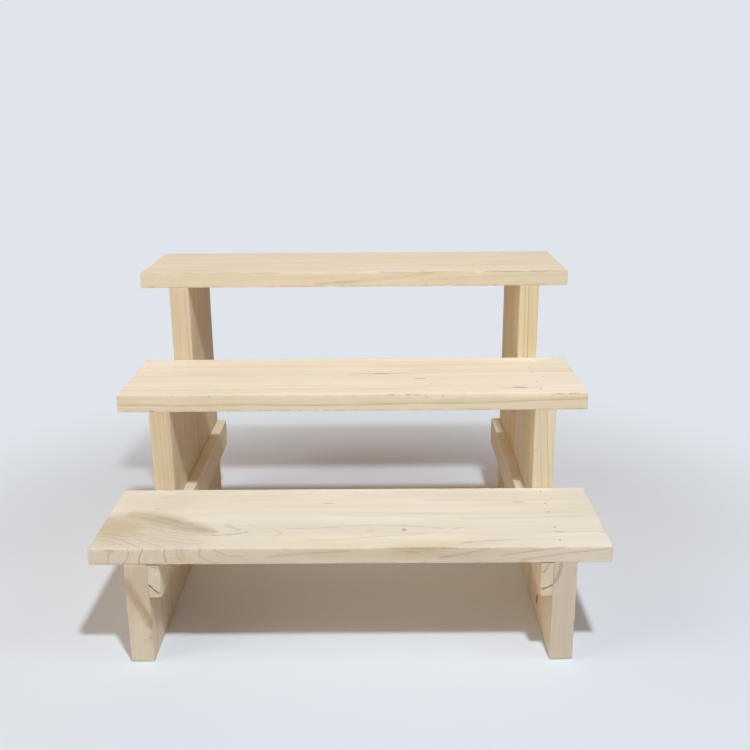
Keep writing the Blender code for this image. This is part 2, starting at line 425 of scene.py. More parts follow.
def pine(name, grain, seed, early, lines, ring_strength, late=LATE_BROWN, ring_width=0.004, waver=0.0015,
         fibrous=1.0, figured=False, stained=None, tints_and_painted_light=(), marks=(), front_and_back_early=None):
    """Raw pine for a board whose grain runs along one axis.

    lines are the rings that stand out, as (growth, width, darkness), growth being how far into the tree they
    lay. A figured board carries how strongly they show. fibrous is how strongly the fibres show, and stained
    the colour of a stain that the board carries. The patches are (centre, reach, colour, strength): stains
    and tints, and on one post painted warm light. marks are (start, end, width, colour, strength). The
    early colour for the faces turned to the front and the back, if given, is a darker one.
    """
    material, tree, shader = new_material(name)
    coordinates = tree.nodes.new("ShaderNodeTexCoord").outputs
    place = coordinates["Object"]
    normal = coordinates["Normal"]
    rings = place_group("growth_rings", Growth=layer_of(tree, "growth"), Place=place,
                        Stretch=stretch(grain, *RING_WAVES), Waver=waver, Ring_Width=ring_width, Seed=seed)
    fibres = place_group("fibres", Place=place, Stretch=stretch(grain, *FIBRE_WAVES), Seed=seed)

    shown = 0.0
    for ring, width, darkness in lines:
        line = place_group("ring_line", Growth=rings["Growth"], At=ring, Width=width)
        shown = sums("MAXIMUM", shown, times(line["Line"], darkness))
    fine_strength = ring_strength
    if figured:
        figure = layer_of(tree, "figure")
        shown = times(shown, figure)
        fine_share = times(figure, ease(facing(normal, 2), 0.5, 0.9))
        fine_strength = sums("MULTIPLY_ADD", fine_share, 0.75, ring_strength)
    late_wood = sums("MAXIMUM", shown, times(rings["Late Wood"], fine_strength))
    ground = (*early, 1.0)
    # Faces turned to the front and the back take a darker early colour.
    if front_and_back_early:
        turned = sums("ABSOLUTE", facing(normal, 1))
        ground = blend(ease(turned, 0.5, 0.9), ground, (*front_and_back_early, 1.0))
    colour = blend(late_wood, ground, (*late, 1.0))
    patches = clouds(vectors("MULTIPLY", place, stretch(grain, *PATCH_WAVES)), 2.0)
    tone = sums("MULTIPLY_ADD", rings["Ring Tone"], RING_TONE, 1.0)
    for pattern, change in ((fibres["Fibre"], FIBRE_TONE * fibrous),
                            (fibres["Streak"], STREAK_TONE * fibrous), (patches, PATCH_TONE)):
        tone = sums("ADD", tone, sums("MULTIPLY_ADD", pattern, change, -change / 2))
    end_grain = sums("ABSOLUTE", facing(normal, grain))
    tone = times(tone, ease(end_grain, 0.6, 0.95, 1.0, END_GRAIN_TONE))
    shade = tree.nodes.new("ShaderNodeHueSaturation")
    feed(shade.inputs["Saturation"], sums("MULTIPLY_ADD", patches, -0.5, 1.25))
    feed(shade.inputs["Value"], tone)
    feed(shade.inputs["Color"], colour)
    colour = shade.outputs["Color"]
    flecks = times(fibres["Fleck"], FLECK_STRENGTH)
    colour = blend(flecks, colour, (*FLECK_BROWN, 1.0))
    if stained:
        broken = sums("MULTIPLY_ADD", fibres["Streak"], 1.6, 0.2)
        share = times(layer_of(tree, "stain"), broken)
        colour = blend(sums("MINIMUM", share, 1.0), colour, (*stained, 1.0))
    # Soft patches of colour: stains and tints, and on the right front post painted warm light.
    for centre, reach, tint, strength in tints_and_painted_light:
        patch = place_group("stain", Place=place, Centre=centre, Reach=reach,
                            Stretch=stretch(grain, *STAIN_WAVES))
        colour = blend(times(patch["Stain"], strength), colour, (*tint, 1.0))
    shake = clouds(scaled(place, SHAKE_FINENESS), 2.0, "Color")
    shake = vectors("SUBTRACT", shake, (0.5, 0.5, 0.5))
    shaken = vectors("ADD", place, scaled(shake, SHAKE))
    # Marks: flecks, slits, cracks and pin knots, and pale edge lines that are partly painted highlight.
    for start, end, width, tint, strength in marks:
        stroke = place_group("mark", Place=shaken, Start=start, End=end, Width=width)
        colour = blend(times(stroke["Mark"], strength), colour, (*tint, 1.0))
    feed(shader.inputs["Base Color"], colour)

    rough = sums("MULTIPLY_ADD", fibres["Fibre"], 0.18, 0.56)
    feed(shader.inputs["Roughness"], sums("MULTIPLY_ADD", late_wood, -0.08, rough))
    shader.inputs["Specular IOR Level"].default_value = 0.32
    relief = tree.nodes.new("ShaderNodeBump")
    relief.inputs["Strength"].default_value = 0.35
    relief.inputs["Distance"].default_value = GRAIN_RELIEF
    feed(relief.inputs["Height"], sums("MULTIPLY_ADD", late_wood, 0.4, fibres["Fibre"]))
    feed(shader.inputs["Normal"], relief.outputs["Normal"])
    return material


def round_heart(heart, run):
    """Growth as the distance from the heart of the tree, a line that a board's grain follows."""
    start = Vector(heart)
    way = Vector(run).normalized()
    return lambda place: (place - start).cross(way).length


def inner_face(node):
    """Where a board at one end of the rack turns its face to the rack's middle."""
    low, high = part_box(node)
    return high.x if high.x < 0.0 else low.x


def post_front(post, along, up):
    """A place on a post's front face, from its left edge and from the table, in millimetres."""
    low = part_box(post)[0]
    return Vector((low.x + along / 1000, low.y, up / 1000))


def post_inside(post, behind, up):
    """A place on a post's inner face, from its front edge and from the table, in millimetres."""
    return Vector((inner_face(post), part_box(post)[0].y + behind / 1000, up / 1000))


def rings_on(place_on, board, growth, rows):
    """Rings that stand out on one face of a board, from rows of (place, width, darkness) in millimetres."""
    return [(growth(place_on(board, *place)), width / 1000, darkness) for place, width, darkness in rows]


def tints_and_painted_light_on(place_on, board, rows):
    """Stains, tints and painted light on one face of a board, from rows of (place, reach, tint, strength) in
    millimetres.
    """
    return [(place_on(board, *place), Vector(reach) / 1000, tint, strength)
            for place, reach, tint, strength in rows]


def chips_on(place_on, board, rows):
    """Chips out of one face of a board, from rows of (place, reach, depth) in millimetres."""
    return [(place_on(board, *place), reach / 1000, depth / 1000) for place, reach, depth in rows]


def marks_on(place_on, board, rows):
    """Marks on one face of a board, from rows of (width, tint, strength, places) in millimetres.

    A mark that bends is one spindle for each straight stretch between its places.
    """
    marks = []
    for width, tint, strength, *places in rows:
        spots = [place_on(board, *place) for place in places]
        marks += [(start, end, width / 1000, tint, strength) for start, end in zip(spots, spots[1:])]
    return marks


# Each post: its heart beside the board, how the grain leans, its pale colour, the width and strength of its
# fine rings, how strongly its fibres show, and the rings that stand out on its front face.
POSTS = {
    "left_front_post": ((-0.262, -0.118), (0.03, 0.01), (0.757, 0.69, 0.565), 0.0034, 0.10, 0.5,
        [((3.0, 50), 0.7, 0.08), ((15.5, 20), 0.8, 0.08)]),
    "left_middle_post": ((-0.255, 0.012), (0.0, 0.01), (0.755, 0.645, 0.455), 0.0018, 0.42, 1.3,
        [((5.2, 154), 0.35, 0.45), ((9.6, 154), 0.3, 0.34), ((14.3, 154), 0.35, 0.38),
         ((19, 154), 0.3, 0.32)]),
    "left_back_post": ((-0.250, 0.120), (-0.02, 0.0), (0.722, 0.604, 0.422), 0.0035, 0.20, 1.3,
        [((8.4, 250), 0.5, 0.30), ((16.7, 250), 0.6, 0.45), ((12.0, 250), 0.4, 0.18)]),
    "right_front_post": ((0.252, -0.128), (-0.02, 0.01), (0.695, 0.635, 0.525), 0.0040, 0.05, 0.5,
        [((13.0, 50), 0.8, 0.05)]),
    "right_middle_post": ((0.110, 0.004), (-0.065, 0.0), (0.825, 0.735, 0.545), 0.0030, 0.22, 1.3,
        [((13.7, 149), 0.5, 0.60), ((4.7, 183), 0.35, 0.40), ((1.8, 183), 0.3, 0.32)]),
    "right_back_post": ((0.120, 0.132), (-0.012, 0.0), (0.79, 0.655, 0.41), 0.0036, 0.34, 1.3,
        [((10.2, 245), 0.45, 0.92), ((6.6, 239), 0.45, 0.78), ((14.5, 245), 0.4, 0.22)]),
}
streak = (0.46, 0.36, 0.23)
grey = (0.36, 0.31, 0.23)
band_brown = (0.50, 0.365, 0.245)
speck = (0.34, 0.22, 0.13)
dull_pine = (0.645, 0.56, 0.43)
# painted_warm_light is painted light: a pale warm colour laid over the right front post's inner face, where
# bounced light falls.
painted_warm_light = (0.98, 0.80, 0.58)
POST_FRONT_MARKS = {
    "left_front_post": [
        (7.4, band_brown, 0.42, (0, 81), (9.1, 60.6), (19.1, 41.5), (20.4, 33)),
        (7.4, band_brown, 0.42, (-3, 86), (3.8, 73.3), (14.7, 50.5), (20.4, 36)),
        (2.2, streak, 0.5, (10.2, 61.6), (15.4, 52.8), (19, 44.6), (20.2, 34)),
        (1, speck, 0.7, (18.9, 24.4), (20.2, 23.8)),
        (0.9, speck, 0.5, (13.2, 20.6), (14.2, 20.2)),
        (0.8, speck, 0.35, (4.2, 14.8), (5, 14.4))],
    "right_front_post": [
        (3, grey, 0.5, (6.3, 97), (5.4, 90), (3.4, 82.5), (0.6, 77.5), (0, 77)),
        (0.7, speck, 0.5, (15.9, 56.3), (16.5, 55.9))],
    "right_middle_post": [
        (2.4, streak, 0.3, (1.4, 151.2), (3.1, 153.1))],
}
POST_INNER_MARKS = {
    "left_front_post": [
        (4, streak, 0.18, (14.35, 0), (20.35, 70)),
        (5, streak, 0.22, (40.35, 10), (42.35, 64)),
        (7, streak, 0.25, (78.35, 0), (82.35, 64))],
    "right_front_post": [
        (5.8, SLIT_BROWN, 0.75, (77.35, 13), (70.35, 23)),
        (1.2, streak, 0.5, (60.35, 20), (59.35, 75)),
        (1, streak, 0.4, (39.35, 15), (40.35, 90))],
    "right_middle_post": [
        (1, SLIT_BROWN, 0.9, (28.15, 114.5), (26.75, 106))],
}
# Patches on the posts: a dull tint over the upper front face of the left front post, and painted warm light
# over the inner face of the right front post.
POST_TINTS_AND_PAINTED_LIGHT = {
    "left_front_post": tints_and_painted_light_on(post_front, "left_front_post", [
        ((16, 80), (30, 50, 50), dull_pine, 0.9),
        ((19, 24), (4, 4, 7), streak, 0.3)]),
    # Painted warm light over the inner face of the right front post.
    "right_front_post": tints_and_painted_light_on(post_inside, "right_front_post", [
        ((63.35, 40), (4, 75, 60), painted_warm_light, 0.75)]),
}
POST_CHIPS = {
    "right_front_post": [((20.5, 36.0), 4.0, 0.6)],
}
for number, (post, traits) in enumerate(POSTS.items()):
    heart, lean, early, ring_width, ring_strength, fibrous, rings = traits
    side, tier = post.split("_")[:2]
    growth = round_heart((*heart, 0.0), (*lean, 1.0))
    marks = marks_on(post_front, post, POST_FRONT_MARKS.get(post, ()))
    marks += marks_on(post_inside, post, POST_INNER_MARKS.get(post, ()))
    wood = pine(post + "_pine", grain=2, seed=3.7 * number, early=early, ring_width=ring_width,
                ring_strength=ring_strength, fibrous=fibrous, tints_and_painted_light=POST_TINTS_AND_PAINTED_LIGHT.get(post, ()), marks=marks,
                lines=rings_on(post_front, post, growth, rings))
    nails = step_nails(tier, [side]) + rail_nails(side, [tier])
    chips = chips_on(post_front, post, POST_CHIPS.get(post, ()))
    sawn_board(post, wood, {"growth": growth}, nails, POST_ARRIS, POST_SPACING, chips,
               drawn=(0.0, 0.0, 1.0))

# Rails
# Two thin sawn strips along the inner faces of the posts, nailed from inside into all three posts of a side.
# Cut close to the heart of the tree: the rings run round the ends in arcs, and the left one is split there.
RAIL_ARRIS = 0.0002
RAIL_SPACING = (0.0025, 0.003, 0.0025)


def rail_end(rail, outwards, up, end="front"):
    """A place on a rail's end, from its inner face and its lower edge, in millimetres."""
    low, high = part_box(rail)
    inner = inner_face(rail)
    x = inner + math.copysign(1.0, inner) * outwards / 1000
    return Vector((x, low.y if end == "front" else high.y, low.z + up / 1000))


# Each rail: its heart as a place on its end, its pale colour, and the rings that show on its ends.
RAILS = {
    "left_rail": ((-9.2, 26.0), (0.82, 0.735, 0.59), [((6.6, 8.5), 0.8, 0.35), ((7.8, 21.0), 0.6, 0.12)]),
    "right_rail": ((-1.2, 33.0), (0.82, 0.735, 0.585), [((5.8, 8.2), 1.0, 0.30), ((5.8, 26.4), 0.6, 0.20)]),
}
# rail_edge_highlight is a pale line along the lower edge of each rail's front end and along the right rail's
# lower inner edge: partly pale fuzz of torn fibres, partly painted highlight.
rail_edge_highlight = (0.95, 0.86, 0.71)
RAIL_MARKS = {
    "left_rail": [
        (1, SLIT_BROWN, 0.95, (10.6, 12.9), (6.6, 8.5), (3.2, 5.2), (0, 3.2)),
        # Painted highlight along the lower edge of the end, with pale fuzz.
        (1.4, rail_edge_highlight, 0.75, (10.5, 0), (0, 0))],
    "right_rail": [
        (1.6, SLIT_BROWN, 0.55, (-0.2, 6.2), (2.8, 6.8), (6.3, 8.4), (10.5, 11)),
        (2, grey, 0.4, (1.5, 22.5), (3.9, 25.5), (5.8, 31)),
        # Painted highlight along the lower edges, with pale fuzz.
        (1.4, rail_edge_highlight, 0.75, (10.5, 0), (0, 0)),
        (1.2, rail_edge_highlight, 0.75, (0, 0), (0, 0, "back"))],
}
RAIL_CHIPS = {
    "left_rail": [((0, 30.5), 11, 2.2), ((0, 2), 5, 1.2), ((5.8, 0), 4, 0.8),
                  ((0, 31, "back"), 6, 1.2), ((0, 6, "back"), 5, 1.2)],
    "right_rail": [((0, 30.5, "back"), 5, 1)],
}
for number, (rail, (heart, early, rings)) in enumerate(RAILS.items()):
    side = rail.split("_")[0]
    growth = round_heart(rail_end(rail, *heart), (0.0, 1.0, 0.0))
    wood = pine(rail + "_pine", grain=1, seed=20.3 + 5.1 * number, early=early,
                lines=rings_on(rail_end, rail, growth, rings), ring_strength=0.15,
                marks=marks_on(rail_end, rail, RAIL_MARKS[rail]))
    sawn_board(rail, wood, {"growth": growth}, rail_nails(side), RAIL_ARRIS, RAIL_SPACING,
               chips_on(rail_end, rail, RAIL_CHIPS[rail]),
               drawn=(math.copysign(1.0, inner_face(rail)), 0.0, 0.0))

# Front step
# The lowest shelf, a planed board nailed down into the front posts, sawn close beside a branch: at its left
# end the rings run round that branch and down the front edge, and past it they straighten along the board.
STEP_ARRIS = 0.0004
FIGURED_SPACING = (0.0025, 0.0025, 0.0025)
FILLER_WIDTH = 0.0009
FILLER_STRENGTH = 0.22
RING_SPAN = 100.0        # millimetres that count as 1 when the rings are worked out
RING_SLACK = 0.0002      # how loosely the rings are held to the places below


def eased(value, start, end):
    """A smooth change from 0 to 1 as a value goes from start to end."""
    share = min(1.0, max(0.0, (value - start) / (end - start)))
    return share * share * (3.0 - 2.0 * share)


def step_top(tier, along, behind):
    """A place on a step's top face, from its left end and its front edge, in millimetres."""
    low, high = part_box(tier + "_step")
    return Vector((low.x + along / 1000, low.y + behind / 1000, high.z))


def step_front(tier, along, below):
    """A place on a step's front face, from its left end and its top edge, in millimetres."""
    low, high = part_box(tier + "_step")
    return Vector((low.x + along / 1000, low.y, high.z - below / 1000))


# How far into the branch's rings some places lie, in millimetres: along the board from its left end, and
# behind the front edge on the top face, or below it, as a negative number, on the front face.
FRONT_STEP_RINGS = {
    10: [(0, -15)],
    14: [(8, -8)],
    13: [(0, 0)],
    22: [(22, 0), (19.3, -4), (17.7, -8), (17.1, -15)],
    35: [(4.8, 11.7), (19.6, 8.7), (34.4, 3.4), (35.5, 0), (34.7, -7.9), (31.2, -13.3)],
    42: [(1.2, 17.2), (18.5, 16.5), (27.6, 12.5), (40.8, 3.7)],
    47.5: [(16.2, 21.4), (37.2, 10.2), (47, 2.6), (48.7, 0), (45.1, -6.8), (44, -14.5)],
    50: [(0, 22.5)],
    53.5: [(16.5, 26.5), (30, 22.5), (44.5, 14.5), (53.5, -1), (50, -8), (49.7, -15)],
    62: [(0, 30)],
    64: [(33.6, 31.8), (47.5, 21.8), (59, 13.5), (67.6, 0), (66.5, -5.2), (67.9, -9.2), (68.1, -14)],
    72: [(31.4, 40.3), (49.7, 28.7), (67, 15), (77.4, 0), (77.4, -4.5), (79.2, -9.3), (84, -14)],
    76: [(0, 45)],
    80: [(98.2, 0), (96.2, -4.6), (98.9, -7.8), (104.5, -11), (113, -13.6), (60, 31), (85, 19)],
    83: [(110.2, 0), (122, -6.4), (136.5, -8.1), (70, 69), (110, 52), (10, 84), (160, 40)],
    88: [(25.8, 52), (53.6, 40), (86.7, 29.7), (115, 27), (135, 32), (102, 43), (61, 66), (26, 76)],
    92: [(5, 64), (33.7, 65), (54.5, 56), (75, 45.5)],
    84: [(200, 0), (300, 0), (400, 0), (457, 0), (300, -15), (200, -15), (457, -15), (200, 28)],
    79: [(225, 54), (277, 54), (330, 54.6), (375, 56.4), (455, 61)],
    71: [(150, 104), (201, 101), (293, 99.6), (376, 97.8), (454, 100.6), (60, 115), (0, 115)],
    63: [(150, 127), (300, 127), (457, 127)],
}
front_corner = step_top("front", 0, 0)


def bending(gap_squared):
    """How a thin plate bends at a distance from a point that holds it."""
    return gap_squared * numpy.log(gap_squared + 1e-12)


def plate_through(rings):
    """The height of a thin plate that is held at each place of the rings."""
    held = numpy.array([spot for spots in rings.values() for spot in spots]) / RING_SPAN
    heights = [ring for ring, spots in rings.items() for spot in spots]
    count = len(held)
    flat = numpy.hstack([numpy.ones((count, 1)), held])
    pulls = bending(((held[:, None] - held[None]) ** 2).sum(axis=2)) + RING_SLACK * numpy.eye(count)
    system = numpy.block([[pulls, flat], [flat.T, numpy.zeros((3, 3))]])
    weights = numpy.linalg.solve(system, numpy.append(heights, (0.0, 0.0, 0.0)))

    def height(along, across):
        spot = numpy.array((along, across)) / RING_SPAN
        pull = bending(((held - spot) ** 2).sum(axis=1))
        return pull @ weights[:count] + weights[count] + spot @ weights[count + 1:]

    return height


front_plate = plate_through(FRONT_STEP_RINGS)


def front_step_spot(place):
    """Where a place lies on the front step, as the rings above are written."""
    offset = (place - front_corner) * 1000
    return offset.x, offset.y + offset.z


def front_step_growth(place):
    """Growth in the front step, in metres."""
    return front_plate(*front_step_spot(place)) / 1000


def branch_end(along):
    """How far behind the front edge the rings of the branch end."""
    return 61.0 - 0.353 * along


def front_step_figure(place):
    """How strongly the rings show: most on the front face, and only round the branch."""
    along, across = front_step_spot(place)
    on_top = 1.0 - (0.62 + 0.30 * eased(along, 26.0, 48.0)) * eased(across, -1.0, 3.0)
    beside_branch = 1.0 - eased(along, 88.0, 130.0)
    end = branch_end(along)
    return on_top * beside_branch * (1.0 - eased(across, end - 6.0, end + 2.0))


# The brown tongue between the rings of the branch and those of the stem: (along, behind, half its width).
BROWN_TONGUE = [(24, 70, 10), (40, 64, 15), (54, 56, 17), (71, 46, 14), (85, 41, 12), (97, 36, 8),
                (105, 33, 4)]


def front_step_stain(place):
    """How brown the front step is: a little round the branch, most along the tongue."""
    along, across = front_step_spot(place)
    spot = Vector((along, across))
    most = 0.0
    for (x, y, width), (next_x, next_y, next_width) in zip(BROWN_TONGUE, BROWN_TONGUE[1:]):
        start = Vector((x, y))
        run = Vector((next_x, next_y)) - start
        share = min(1.0, max(0.0, (spot - start).dot(run) / run.dot(run)))
        gap = (spot - start - run * share).length / (width + share * (next_width - width))
        most = max(most, 1.0 - eased(gap, 0.15, 1.3))
    most *= 0.56 + 0.16 * eased(along, 35.0, 75.0)
    end = branch_end(along)
    branch = eased(across, -1.0, 2.0) * (1.0 - eased(across, end - 2.0, end + 8.0))
    branch *= 1.0 - eased(along, 80.0, 120.0)
    return max(most, 0.22 * branch)


tongue_brown = (0.51, 0.41, 0.28)
ochre = (0.573, 0.452, 0.268)
olive = (0.65, 0.54, 0.33)
green_grey = (0.64, 0.585, 0.42)
straw = (0.81, 0.71, 0.50)
ash = (0.78, 0.71, 0.585)
chalk = (0.86, 0.80, 0.68)
brown = (0.45, 0.33, 0.20)
dark = (0.26, 0.19, 0.12)
# torn_fibre_highlight: pale torn fibres on the front edges of the steps, partly their own pale colour and
# partly painted highlight.
torn_fibre_highlight = (0.93, 0.86, 0.74)


def filler_spots(tier):
    """Faint spots on a step where the filler over its nails shows."""
    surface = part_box(tier + "_step")[1].z
    spots = []
    for nail in step_nails(tier):
        if not nail.startswith(OPEN_ROWS):
            low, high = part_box(nail)
            start = Vector((low.x, low.y, surface))
            end = Vector((high.x, low.y, surface))
            spots.append((start, end, FILLER_WIDTH, brown, FILLER_STRENGTH))
    return spots


def step_marks(tier, top, front):
    """The marks on a step's top face and on its front face, and the filler over its nails."""
    return marks_on(step_top, tier, top) + marks_on(step_front, tier, front) + filler_spots(tier)


FRONT_TOP_MARKS = [
    (1.4, brown, 0.4, (0, 25.5), (14, 24.4), (25, 18.4), (41, 6), (45, 2.9)),
    (1.3, brown, 0.38, (1, 18.7), (15, 15.4), (29, 8.2)),
    (1.4, brown, 0.34, (2, 31.2), (21, 27.8)),
    (1.3, brown, 0.36, (14, 28), (34, 23), (46, 15), (57, 8), (65, 3.5)),
    (1.2, brown, 0.32, (33, 27.6), (44, 22), (57, 15), (69, 12.6)),
    (1.3, brown, 0.34, (33, 34), (46, 25), (62, 17), (80, 11.5), (98, 9.8)),
    (1.3, brown, 0.3, (46, 32), (60, 25), (76, 20), (96, 16)),
    (1.2, brown, 0.26, (53, 34.7), (66, 27), (78, 25), (87, 23)),
    (1.8, brown, 0.36, (45, 42), (61, 33.6), (77, 30), (92, 27), (107, 26.4)),
    (3.4, brown, 0.2, (28, 73), (46, 67), (60, 59), (72, 50), (88, 43), (102, 36)),
    (3, brown, 0.2, (32, 63), (50, 55), (66, 46), (84, 39), (100, 33)),
    (2.6, brown, 0.22, (44, 49), (60, 42), (76, 36), (96, 31)),
    (1.4, dark, 0.45, (104, 25.8), (114, 26.6), (123, 27.8), (130, 29.9), (136, 33)),
    (4, brown, 0.25, (113, 47), (121, 41), (128, 35)),
    (1.3, brown, 0.24, (131, 46.3), (141, 43.8), (150, 40.2), (158, 36.7), (164, 32.3), (166.5, 28),
     (160, 24)),
    (1.8, brown, 0.3, (170, 38.5), (199, 39.6), (225, 43.6), (251, 44.7), (277, 43.5), (302, 39.7),
     (313, 36.7)),
    (1.8, brown, 0.26, (186, 15.5), (219, 17), (274, 24.5), (298, 28.4)),
    (2, brown, 0.3, (330, 57.5), (380, 59), (457, 61.5)),
    (2, brown, 0.2, (290, 99.6), (376, 98), (457, 101)),
    (1.4, dark, 0.42, (326, 8.5), (340, 11.6), (372, 14.5)),
    (6, brown, 0.25, (275, 34.9), (277.6, 34.8)),
    (2.4, dark, 0.8, (275, 34.9), (277.6, 34.8)),
    (1.2, dark, 0.45, (274, 43.6), (279, 43.6)),
    (1.4, dark, 0.55, (200, 92.8), (211, 92.6)),
    (1.4, dark, 0.45, (242, 32.7), (249.5, 33)),
    (1.5, dark, 0.42, (383, 93.4), (393, 92.3)),
    (1.4, dark, 0.5, (411, 30.6), (421, 28.6)),
    (1.8, brown, 0.28, (320, 36.6), (331, 40)),
    (1.6, brown, 0.4, (40.5, 82), (45.5, 83)),
    (1.3, dark, 0.22, (46, 66), (50, 62)),
    (1.3, dark, 0.28, (63, 58.6), (68, 56.6)),
    (1.3, dark, 0.28, (77, 52.2), (82, 50.6)),
    (1.3, dark, 0.25, (53, 40.6), (59, 38)),
    (2.2, brown, 0.15, (42, 107), (64, 118.4)),
]
FRONT_FACE_MARKS = [
    (1.3, brown, 0.32, (110, 0), (113.6, 3.1), (122, 6.4), (137, 8.1)),
    (2.2, brown, 0.28, (156, 8.2), (186, 5.2), (206, 4.2), (228, 2.7)),
    (2.2, brown, 0.3, (306, 9.9), (325, 6.6), (337, 4.1), (350, 1.6)),
    (1.6, brown, 0.34, (359, 7.9), (379, 5.2), (399, 2.1), (416, 0.5)),
    (1.6, brown, 0.32, (377, 12.4), (395, 9.7), (416, 6.2), (438, 3.6), (454, 1.7)),
    # Pale torn fibres on the lower edge, partly painted highlight.
    (1.5, torn_fibre_highlight, 0.9, (66, 14.3), (78, 14.5), (92, 14.3)),
    (1.4, dark, 0.4, (258, 0.6), (322, 0.6)),
    (1.2, brown, 0.4, (276, 3.6), (288, 4.8)),
]
FRONT_STEP_STAINS = (
    tints_and_painted_light_on(step_front, "front", [
        ((290, 2), (45, 8, 6), olive, 0.85),
        ((285, 9), (45, 6, 5), olive, 0.35),
        ((322, 8), (30, 6, 6), brown, 0.16),
        ((420, 8), (75, 6, 16), chalk, 0.6),
        ((225, 6), (55, 6, 7), green_grey, 0.35),
        ((82, 7), (5, 4, 12), olive, 0.45)])
    + tints_and_painted_light_on(step_top, "front", [
        ((315, 6), (60, 8, 3), olive, 0.35),
        ((240, 6), (130, 14, 3), straw, 0.5),
        ((16, 45), (40, 40, 4), ochre, 0.64),
        ((40, 102), (62, 42, 4), ash, 0.75)]))
FRONT_STEP_CHIPS = (
    chips_on(step_front, "front", [((72, 15.0), 5.0, 1.0), ((86, 15.0), 5.0, 1.0)])
    + chips_on(step_top, "front", [((457, 30.5), 6.0, 1.8)]))
# The rings that stand out, as (ring in millimetres, width, darkness).
RINGS_SHOWN = [(22.0, 0.9, 0.38), (35.0, 0.6, 0.80), (38.0, 0.5, 0.14), (47.5, 0.7, 1.00), (53.5, 0.6, 0.22),
               (64.0, 0.6, 0.60), (72.0, 0.8, 0.34), (80.0, 0.35, 0.50)]
front_wood = pine("front_step_pine", grain=0, seed=41.3, early=(0.855, 0.78, 0.645),
                  front_and_back_early=(0.76, 0.695, 0.575), late=(0.44, 0.35, 0.23), ring_width=0.0027, ring_strength=0.07,
                  waver=0.0012, figured=True, stained=tongue_brown, tints_and_painted_light=FRONT_STEP_STAINS,
                  marks=step_marks("front", FRONT_TOP_MARKS, FRONT_FACE_MARKS),
                  lines=[(ring / 1000, width / 1000, darkness) for ring, width, darkness in RINGS_SHOWN])
sawn_board("front_step", front_wood,
           {"growth": front_step_growth, "figure": front_step_figure, "stain": front_step_stain},
           step_nails("front"), STEP_ARRIS, FIGURED_SPACING, FRONT_STEP_CHIPS)

# Middle step
# The shelf in between, a planed board from the side of the tree, its rings nearly straight along its length.
# It is nailed down into the middle posts, and its front edges are torn here and there.
STEP_SPACING = (0.0025, 0.003, 0.0025)
HEART_BELOW = Vector((0.0, 0.0, 0.090))  # how far under the top face the heart of the tree lay
middle_growth = round_heart(step_top("middle", 0, -30) - HEART_BELOW, (1.0, 0.014, 0.008))
MIDDLE_FRONT_LINE = [(0, 9.3), (30, 10.1), (52, 10.6), (75, 10.7), (97, 10.4), (127, 10.1), (171, 10.9),
                     (225, 11.0), (291, 9.4), (351, 9.5), (410, 7.3), (457, 5.9)]
MIDDLE_FACE_MARKS = [
    (3.6, green_grey, 0.28, *[(along, below - 0.9) for along, below in MIDDLE_FRONT_LINE]),
    (1.2, brown, 0.42, *MIDDLE_FRONT_LINE),
    (1.2, speck, 0.5, (263, 0.7), (270, 0.8)),
    (1.2, speck, 0.55, (280, 0.6), (286, 0.7)),
    (1, speck, 0.35, (288, 0.6), (297, 0.5)),
    (1, brown, 0.4, (316, 1), (316.4, 4.5)),
    (1, brown, 0.35, (298, 0.4), (301.5, 4)),
    (1, brown, 0.35, (88.6, 0.5), (93, 3.6)),
    (1.1, speck, 0.6, (426, 0.8), (434, 1)),
    (1.1, speck, 0.55, (438, 0.9), (448, 0.7)),
    # Pale torn fibres on the lower edge, partly painted highlight.
    (1, torn_fibre_highlight, 0.6, (2, 16.3), (24, 16.4)),
    (1, torn_fibre_highlight, 0.6, (40, 16.3), (58, 16.3)),
]
MIDDLE_TOP_MARKS = [
    (1.6, brown, 0.34, (0, 17.5), (86, 17.2), (130, 17), (200, 16), (300, 17)),
    (2, brown, 0.4, (222, 68.8), (246, 69.2), (264, 69.2), (292, 69.6)),
    (1.6, brown, 0.3, (372, 19.2), (388, 18.8), (401, 18.8), (415, 18.7)),
    (2.3, grey, 0.8, (249, 69.2), (267, 69.2)),
    (2.1, streak, 0.8, (291, 50.7), (302, 50.7)),
    (2.5, grey, 0.9, (386, 18.8), (400, 18.8)),
    (1.2, brown, 0.35, (315, 45), (317, 45)),
    (1.2, brown, 0.4, (324, 28.5), (327, 28.5)),
    (1.1, brown, 0.3, (344, 19), (347, 19)),
    (1.1, brown, 0.3, (238, 59), (240, 59)),
    (1.2, brown, 0.4, (88, 17.2), (100, 17.2)),
    (1, brown, 0.45, (209, 54.7), (210.4, 54.7)),
]
MIDDLE_STEP_CHIPS = chips_on(step_front, "middle", [
    ((32, 17), 3, 1), ((94, 0), 4, 0.8), ((301, 0), 3, 0.6), ((317, 0), 3, 0.6),
    ((430, 0), 5, 0.6), ((443, 0), 5, 0.6)])
MIDDLE_STEP_RINGS = [((204, 68.3), 0.8, 0.48), ((204, 98.3), 0.9, 0.30)]
middle_wood = pine("middle_step_pine", grain=0, seed=52.7, early=(0.93, 0.81, 0.64),
                   front_and_back_early=(0.835, 0.73, 0.555), ring_width=0.005, ring_strength=0.10,
                   marks=step_marks("middle", MIDDLE_TOP_MARKS, MIDDLE_FACE_MARKS),
                   lines=rings_on(step_top, "middle", middle_growth, MIDDLE_STEP_RINGS))
sawn_board("middle_step", middle_wood, {"growth": middle_growth}, step_nails("middle"),
           STEP_ARRIS, STEP_SPACING, MIDDLE_STEP_CHIPS)

